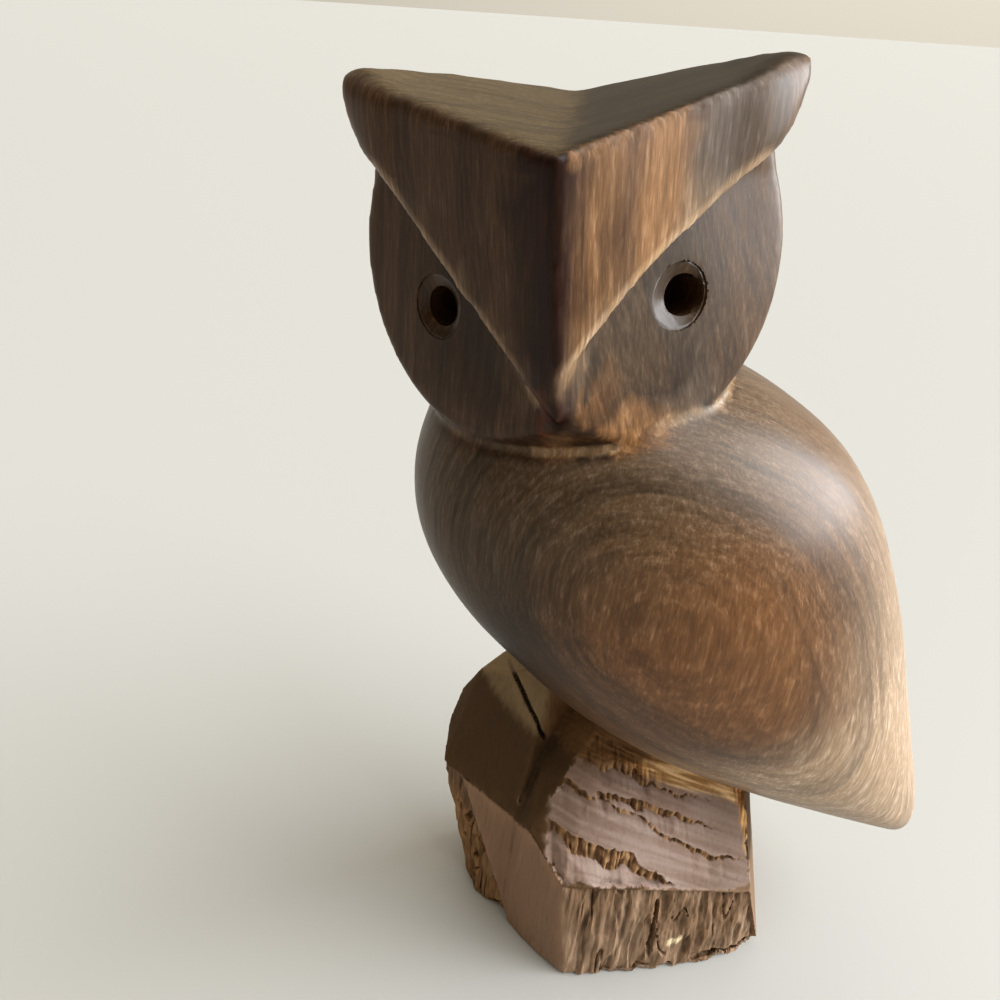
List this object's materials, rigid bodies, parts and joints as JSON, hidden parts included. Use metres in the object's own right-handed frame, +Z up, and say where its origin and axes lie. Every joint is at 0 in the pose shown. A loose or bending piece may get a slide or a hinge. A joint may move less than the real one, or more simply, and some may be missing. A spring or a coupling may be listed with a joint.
{
  "type": "carved owl figurine",
  "caption": "Polished dark wood owl with its head turned over its left shoulder, carved in one with the rough hewn stump it stands on, which rests flat on a shelf.",
  "frame": {"origin": "on the underside of the stump, below the middle of the bird", "axes": "+Z up, +X from the breast to the tail, and the face looks towards -Y, about 10 degrees round towards -X"},
  "size_m": [0.0842, 0.04, 0.1275],
  "materials": {
    "ironwood": "Dense brown desert wood. The bird is sanded and waxed to a soft gloss with dark grain stripes and a light growth-ring figure on the flank; the stump is dull, split and hewn, with pale chips and torn rust-coloured fibres."
  },
  "bodies": {
    "root": {"owl_on_stump": "ironwood"}
  },
  "joints": []
}
